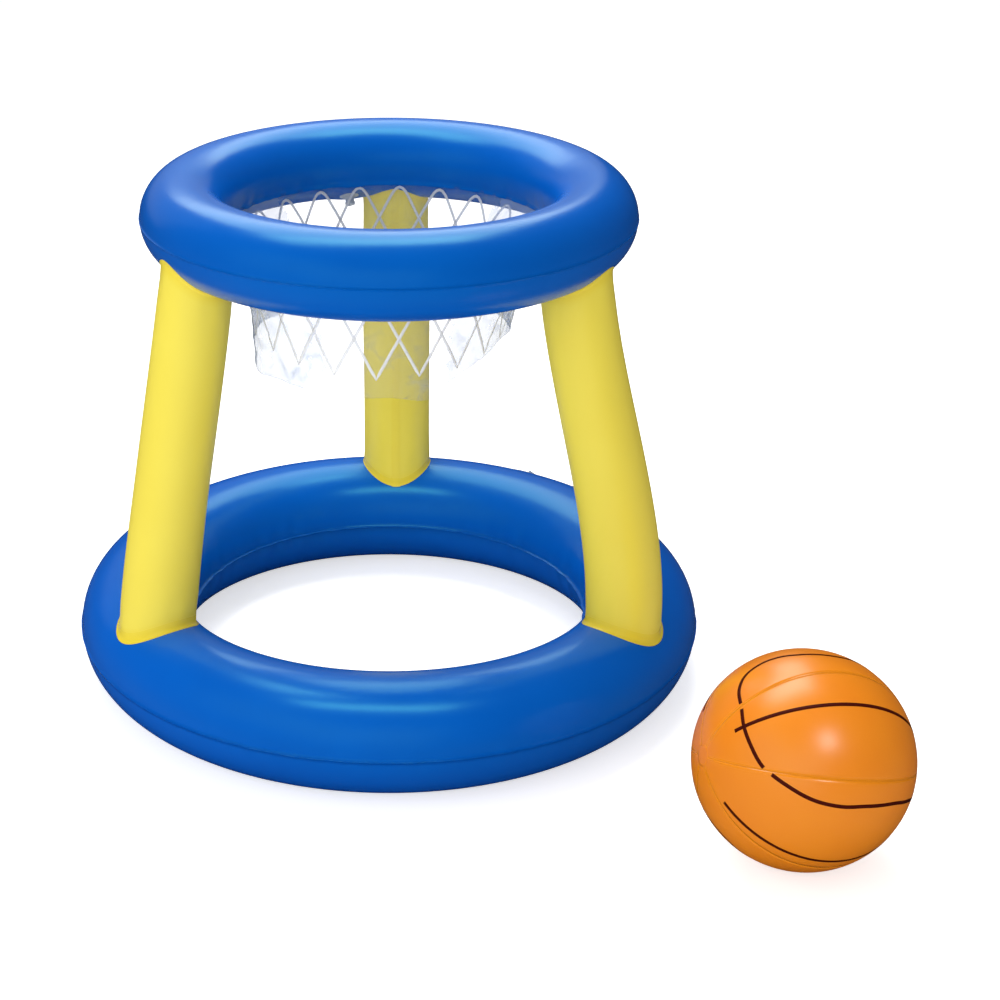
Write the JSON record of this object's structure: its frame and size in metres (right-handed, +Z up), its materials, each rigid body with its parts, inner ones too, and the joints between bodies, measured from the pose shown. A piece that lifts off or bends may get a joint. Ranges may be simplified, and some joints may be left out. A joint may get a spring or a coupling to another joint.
{
  "type": "floating basketball hoop",
  "caption": "Inflatable floating basketball hoop: a base ring and tube legs hold a smaller hoop ring with a clear net skirt; a light ball lies beside it.",
  "frame": {"origin": "under the middle of the whole set's bounding box, on the surface it stands on", "axes": "+Z up; -Y towards the front, between the left and right legs; +X to the right"},
  "size_m": [0.744, 0.7614, 0.499],
  "materials": {
    "ring_blue": "glossy blue vinyl film, high-frequency welded",
    "hoop_blue": "glossy blue vinyl film, high-frequency welded",
    "leg_yellow": "satin yellow vinyl film",
    "clear_film": "clear vinyl film",
    "white_ink": "white screen-printed ink",
    "ball_orange": "glossy orange vinyl film",
    "clear_vinyl": "moulded soft clear vinyl"
  },
  "bodies": {
    "hoop_frame": {"base_ring_top_panel": "ring_blue", "base_ring_bottom_panel": "ring_blue", "hoop_ring_top_panel": "hoop_blue", "hoop_ring_bottom_panel": "hoop_blue", "leg_left": "leg_yellow", "leg_right": "leg_yellow", "leg_rear": "leg_yellow", "net_film": "clear_film", "net_print": "white_ink", "hoop_valve_collar": "clear_vinyl", "base_valve_collar": "clear_vinyl"},
    "ball": {"ball_gore_1": "ball_orange", "ball_gore_2": "ball_orange", "ball_gore_3": "ball_orange", "ball_gore_4": "ball_orange", "ball_gore_5": "ball_orange", "ball_gore_6": "ball_orange", "ball_pole_patch_near": "ball_orange", "ball_pole_patch_far": "ball_orange", "ball_valve_collar": "clear_vinyl"},
    "hoop_valve_stem": {"hoop_valve_stem": "clear_vinyl"},
    "hoop_valve_plug": {"hoop_valve_plug": "clear_vinyl"},
    "hoop_valve_flap": {"hoop_valve_flap": "clear_vinyl"},
    "base_valve_stem": {"base_valve_stem": "clear_vinyl"},
    "base_valve_plug": {"base_valve_plug": "clear_vinyl"},
    "base_valve_flap": {"base_valve_flap": "clear_vinyl"},
    "ball_valve_stem": {"ball_valve_stem": "clear_vinyl"},
    "ball_valve_plug": {"ball_valve_plug": "clear_vinyl"},
    "ball_valve_flap": {"ball_valve_flap": "clear_vinyl"}
  },
  "joints": [
    {"name": "ball_lift", "type": "slide", "parent": "hoop_frame", "child": "ball", "axis": [0, 0, 1], "range_m": [0, 0.3]},
    {"name": "hoop_valve_push", "type": "slide", "parent": "hoop_frame", "child": "hoop_valve_stem", "axis": [-0.1237, 0.5152, 0.8481], "range_m": [0, 0.0045]},
    {"name": "hoop_valve_open", "type": "hinge", "parent": "hoop_valve_stem", "child": "hoop_valve_plug", "pos_m": [-0.10713, 0.24289, 0.41679], "axis": [0.9724, 0.2334, 0], "range_deg": [0, 130]},
    {"name": "hoop_valve_check", "type": "hinge", "parent": "hoop_valve_stem", "child": "hoop_valve_flap", "pos_m": [-0.10818, 0.24727, 0.43042], "axis": [-0.9724, -0.2334, 0], "range_deg": [0, 60]},
    {"name": "base_valve_push", "type": "slide", "parent": "hoop_frame", "child": "base_valve_stem", "axis": [-0.4333, -0.7072, -0.5587], "range_m": [0, 0.0045]},
    {"name": "base_valve_open", "type": "hinge", "parent": "base_valve_stem", "child": "base_valve_plug", "pos_m": [0.09075, 0.33309, 0.08018], "axis": [-0.8526, 0.5225, 0], "range_deg": [0, 130]},
    {"name": "base_valve_check", "type": "hinge", "parent": "base_valve_stem", "child": "base_valve_flap", "pos_m": [0.08372, 0.3216, 0.0752], "axis": [0.8526, -0.5225, 0], "range_deg": [0, 60]},
    {"name": "ball_valve_push", "type": "slide", "parent": "ball", "child": "ball_valve_stem", "axis": [0.3677, -0.9261, -0.0841], "range_m": [0, 0.0045]},
    {"name": "ball_valve_open", "type": "hinge", "parent": "ball_valve_stem", "child": "ball_valve_plug", "pos_m": [0.24999, -0.19361, 0.10127], "axis": [-0.031, 0.0782, -0.9965], "range_deg": [0, 130]},
    {"name": "ball_valve_check", "type": "hinge", "parent": "ball_valve_stem", "child": "ball_valve_flap", "pos_m": [0.25196, -0.20779, 0.10009], "axis": [0.031, -0.0782, 0.9965], "range_deg": [0, 60]}
  ]
}
